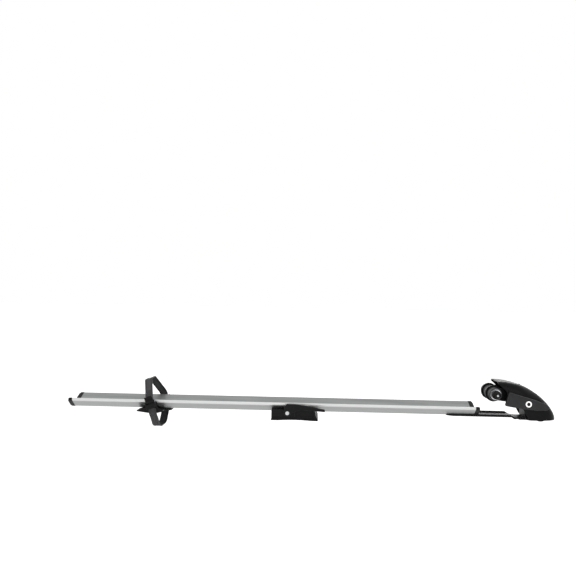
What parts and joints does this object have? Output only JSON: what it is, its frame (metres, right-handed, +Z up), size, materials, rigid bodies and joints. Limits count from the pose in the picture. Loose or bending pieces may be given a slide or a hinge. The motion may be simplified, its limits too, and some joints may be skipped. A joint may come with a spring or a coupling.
{
  "type": "roof mounted bike carrier",
  "caption": "Fork-mount roof bike carrier: aluminium wheel tray, hooded fork clamp head with quick-release skewer, lever bar clamps and a sliding wheel strap.",
  "frame": {"origin": "on the axis of the front clamp bolt, in the plane of the front bar seat", "axes": "+X forward along the rail, +Y across it away from the clamp levers, +Z up"},
  "size_m": [1.318, 0.1484, 0.144],
  "materials": {
    "rail_aluminium": "satin anodised",
    "black_nylon": "fine moulded grain",
    "hood_nylon": "satin moulded",
    "grey_nylon": "satin moulded",
    "black_casting": "black powder coat",
    "zinc_steel": "zinc plated",
    "lock_nickel": "satin nickel",
    "pad_rubber": "matte",
    "strap_rubber": "smooth elastomer"
  },
  "bodies": {
    "rail": {"rail": "rail_aluminium", "rear_end_cap": "black_nylon", "front_end_cap": "black_nylon", "head_frame": "black_casting", "tongue_screws": "zinc_steel", "tongue_nuts": "zinc_steel", "hood": "hood_nylon", "hood_screws": "zinc_steel", "head_pad_near": "pad_rubber", "head_pad_far": "pad_rubber", "cam_bushes": "zinc_steel", "lock_striker": "zinc_steel", "axle_barrel": "grey_nylon", "axle_core": "zinc_steel", "fork_seats": "zinc_steel", "cam_cap": "black_casting"},
    "skewer": {"skewer_rod": "zinc_steel"},
    "skewer_nut": {"skewer_nut": "black_casting"},
    "qr_lever": {"qr_lever": "black_casting", "qr_lever_pin": "zinc_steel"},
    "clamp_lever": {"clamp_lever": "hood_nylon", "cam_shaft": "zinc_steel", "shaft_clip": "zinc_steel", "lock_housing": "lock_nickel"},
    "lock_plug": {"lock_plug": "lock_nickel", "lock_tongue": "zinc_steel"},
    "front_clamp": {"front_yoke": "zinc_steel", "front_t_bolt": "zinc_steel", "front_adjust_nut": "zinc_steel"},
    "mid_foot": {"foot_body": "black_nylon", "foot_pad": "pad_rubber", "foot_shoe": "black_nylon", "foot_screws": "zinc_steel"},
    "mid_lever": {"foot_lever": "black_nylon", "foot_cam_pin": "zinc_steel"},
    "mid_clamp": {"foot_yoke": "zinc_steel", "foot_clamp_bar": "zinc_steel", "foot_guide_bolt": "zinc_steel"},
    "carriage": {"carriage": "black_nylon", "carriage_shoe": "black_nylon", "carriage_screws": "zinc_steel", "buckle_frame": "black_nylon", "buckle_pin": "zinc_steel", "strap_pin": "zinc_steel", "strap_tail": "strap_rubber"},
    "wheel_strap": {"wheel_strap": "strap_rubber"},
    "buckle_lever": {"buckle_lever": "black_nylon"}
  },
  "joints": [
    {"name": "skewer_slide", "type": "slide", "parent": "rail", "child": "skewer", "axis": [0, -1, 0], "range_m": [0, 0.00245]},
    {"name": "skewer_nut_spin", "type": "hinge", "parent": "skewer", "child": "skewer_nut", "pos_m": [-0.131, -0.063, 0.07], "axis": [0, 1, 0], "continuous": true},
    {"name": "qr_lever_hinge", "type": "hinge", "parent": "skewer", "child": "qr_lever", "pos_m": [-0.131, 0.07135, 0.07], "axis": [-0.1045, 0, 0.9945], "range_deg": [0, 170]},
    {"name": "clamp_lever_hinge", "type": "hinge", "parent": "rail", "child": "clamp_lever", "pos_m": [0, -0.05, 0.038], "axis": [0, 1, 0], "range_deg": [0, 102]},
    {"name": "front_clamp_slide", "type": "slide", "parent": "rail", "child": "front_clamp", "axis": [0, 0, -1], "range_m": [0, 0.00337]},
    {"name": "lock_turn", "type": "hinge", "parent": "clamp_lever", "child": "lock_plug", "pos_m": [-0.0466, -0.055, 0.0477], "axis": [0, 1, 0], "range_deg": [0, 90]},
    {"name": "mid_foot_slide", "type": "slide", "parent": "rail", "child": "mid_foot", "axis": [1, 0, 0], "range_m": [-0.12, 0.3]},
    {"name": "mid_lever_hinge", "type": "hinge", "parent": "mid_foot", "child": "mid_lever", "pos_m": [-0.684, -0.062, 0.0108], "axis": [0, -1, 0], "range_deg": [0, 102]},
    {"name": "mid_clamp_slide", "type": "slide", "parent": "mid_foot", "child": "mid_clamp", "axis": [0, 0, -1], "range_m": [0, 0.00245]},
    {"name": "carriage_slide", "type": "slide", "parent": "rail", "child": "carriage", "axis": [1, 0, 0], "range_m": [-0.15, 0.12]},
    {"name": "strap_swing", "type": "hinge", "parent": "carriage", "child": "wheel_strap", "pos_m": [-1.03859, 0.0605, 0.02571], "axis": [-0.9511, 0, -0.309], "range_deg": [0, 105]},
    {"name": "buckle_lever_hinge", "type": "hinge", "parent": "carriage", "child": "buckle_lever", "pos_m": [-1.05294, -0.066, 0.03104], "axis": [0.9511, 0, 0.309], "range_deg": [0, 100]}
  ],
  "couplings": [
    {"joint": "skewer_slide", "follows": "qr_lever_hinge", "m_per_rad": 0.00080888},
    {"joint": "clamp_lever_hinge", "follows": "front_clamp_slide", "rad_per_m": 517.81},
    {"joint": "mid_lever_hinge", "follows": "mid_clamp_slide", "rad_per_m": 711.99}
  ]
}
